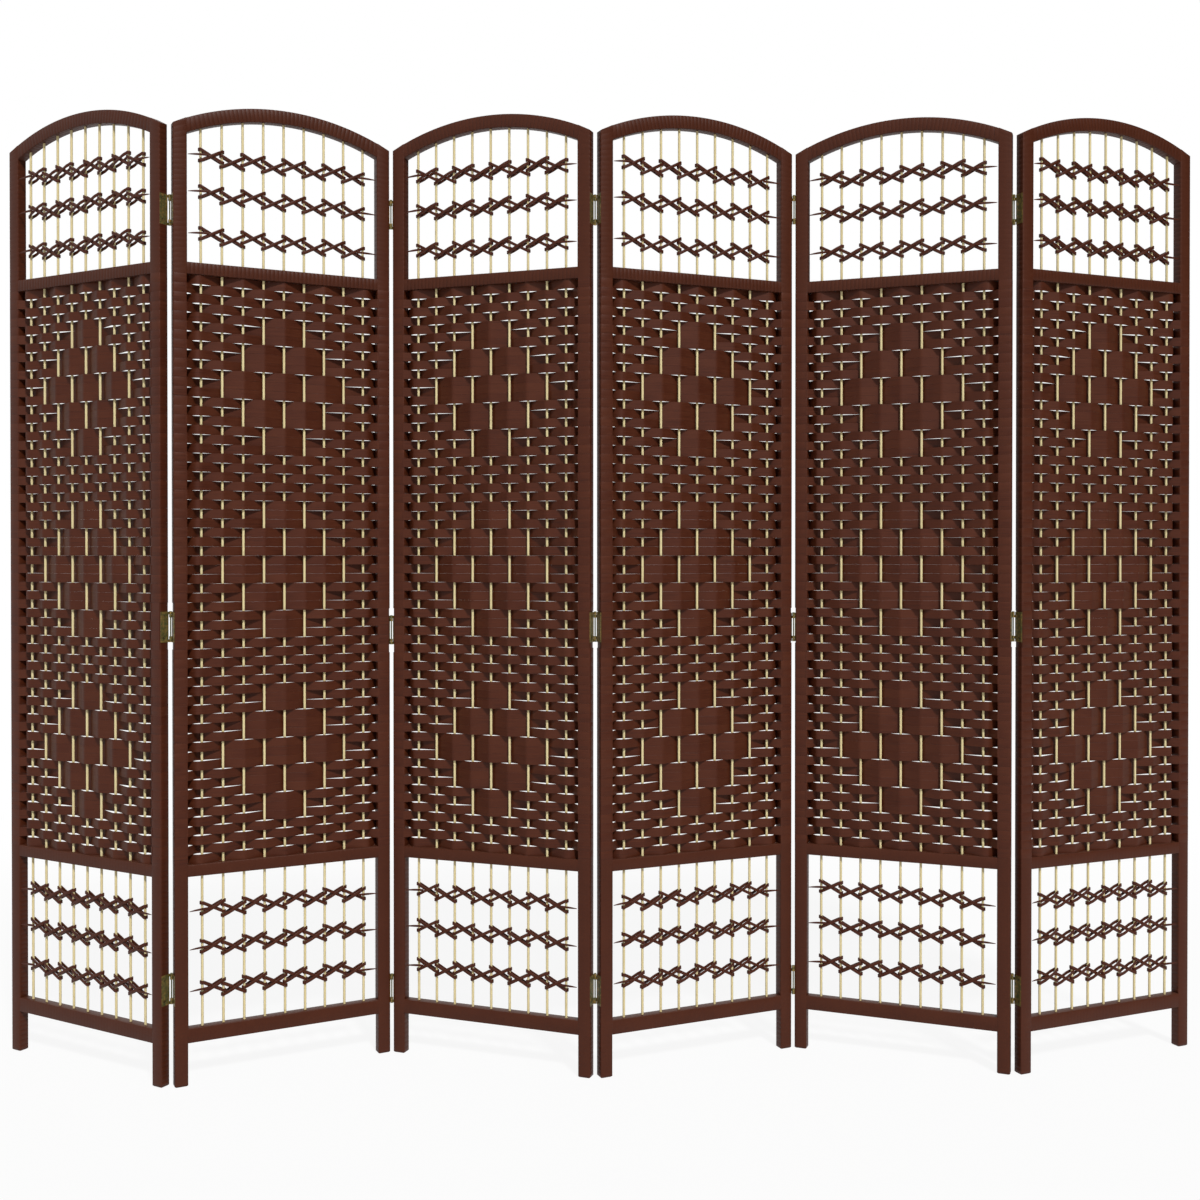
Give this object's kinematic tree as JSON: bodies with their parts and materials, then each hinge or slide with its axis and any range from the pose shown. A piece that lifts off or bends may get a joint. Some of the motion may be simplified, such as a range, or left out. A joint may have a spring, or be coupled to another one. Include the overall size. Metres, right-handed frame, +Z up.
{
  "type": "folding screen",
  "caption": "Folding room divider: hinged bow-topped wooden frames with upright bamboo rods, dark bands woven round them and crossed lacing in open windows above and below.",
  "frame": {"origin": "on the floor, at the centre of the bounding box of the screen as it stands folded", "axes": "+X along the screen from its first panel to its last, +Y towards its back, +Z up"},
  "size_m": [2.2448, 0.2368, 1.7468],
  "materials": {
    "stained_frame": "dark red-brown wrapped and stained",
    "bamboo": "pale natural bamboo",
    "woven_fiber": "dark red-brown dyed fiber band",
    "hinge_brass": "aged yellow plate",
    "screw_steel": "darkened steel"
  },
  "bodies": {
    "panel_1": {"panel_1_left_post": "stained_frame", "panel_1_right_post": "stained_frame", "panel_1_top_arch": "stained_frame", "panel_1_cross_rails": "stained_frame", "panel_1_bamboo_rods": "bamboo", "panel_1_woven_bands": "woven_fiber", "panel_1_cross_lacing": "woven_fiber", "panel_1_hinge_leaves": "hinge_brass", "panel_1_hinge_screws": "screw_steel", "hinge_pins_1_2": "hinge_brass"},
    "panel_2": {"panel_2_left_post": "stained_frame", "panel_2_right_post": "stained_frame", "panel_2_top_arch": "stained_frame", "panel_2_cross_rails": "stained_frame", "panel_2_bamboo_rods": "bamboo", "panel_2_woven_bands": "woven_fiber", "panel_2_cross_lacing": "woven_fiber", "panel_2_hinge_leaves": "hinge_brass", "panel_2_hinge_screws": "screw_steel"},
    "panel_3": {"panel_3_left_post": "stained_frame", "panel_3_right_post": "stained_frame", "panel_3_top_arch": "stained_frame", "panel_3_cross_rails": "stained_frame", "panel_3_bamboo_rods": "bamboo", "panel_3_woven_bands": "woven_fiber", "panel_3_cross_lacing": "woven_fiber", "panel_3_hinge_leaves": "hinge_brass", "panel_3_hinge_screws": "screw_steel", "hinge_pins_2_3": "hinge_brass", "hinge_pins_3_4": "hinge_brass"},
    "panel_4": {"panel_4_left_post": "stained_frame", "panel_4_right_post": "stained_frame", "panel_4_top_arch": "stained_frame", "panel_4_cross_rails": "stained_frame", "panel_4_bamboo_rods": "bamboo", "panel_4_woven_bands": "woven_fiber", "panel_4_cross_lacing": "woven_fiber", "panel_4_hinge_leaves": "hinge_brass", "panel_4_hinge_screws": "screw_steel"},
    "panel_5": {"panel_5_left_post": "stained_frame", "panel_5_right_post": "stained_frame", "panel_5_top_arch": "stained_frame", "panel_5_cross_rails": "stained_frame", "panel_5_bamboo_rods": "bamboo", "panel_5_woven_bands": "woven_fiber", "panel_5_cross_lacing": "woven_fiber", "panel_5_hinge_leaves": "hinge_brass", "panel_5_hinge_screws": "screw_steel", "hinge_pins_4_5": "hinge_brass", "hinge_pins_5_6": "hinge_brass"},
    "panel_6": {"panel_6_left_post": "stained_frame", "panel_6_right_post": "stained_frame", "panel_6_top_arch": "stained_frame", "panel_6_cross_rails": "stained_frame", "panel_6_bamboo_rods": "bamboo", "panel_6_woven_bands": "woven_fiber", "panel_6_cross_lacing": "woven_fiber", "panel_6_hinge_leaves": "hinge_brass", "panel_6_hinge_screws": "screw_steel"}
  },
  "joints": [
    {"name": "hinge_1_2", "type": "hinge", "parent": "panel_2", "child": "panel_1", "pos_m": [-0.76482, -0.0987, 0], "axis": [0, 0, -1], "range_deg": [-56.9, 123.1]},
    {"name": "hinge_2_3", "type": "hinge", "parent": "panel_3", "child": "panel_2", "pos_m": [-0.39754, 0.06184, 0], "axis": [0, 0, 1], "range_deg": [-47.4, 132.6]},
    {"name": "hinge_3_4", "type": "hinge", "parent": "panel_3", "child": "panel_4", "pos_m": [-0.01304, -0.0514, 0], "axis": [0, 0, 1], "range_deg": [-43.7, 136.3]},
    {"name": "hinge_4_5", "type": "hinge", "parent": "panel_4", "child": "panel_5", "pos_m": [0.36384, 0.0851, 0], "axis": [0, 0, -1], "range_deg": [-44.6, 135.4]},
    {"name": "hinge_5_6", "type": "hinge", "parent": "panel_5", "child": "panel_6", "pos_m": [0.74652, -0.03416, 0], "axis": [0, 0, 1], "range_deg": [-43.9, 136.1]}
  ]
}
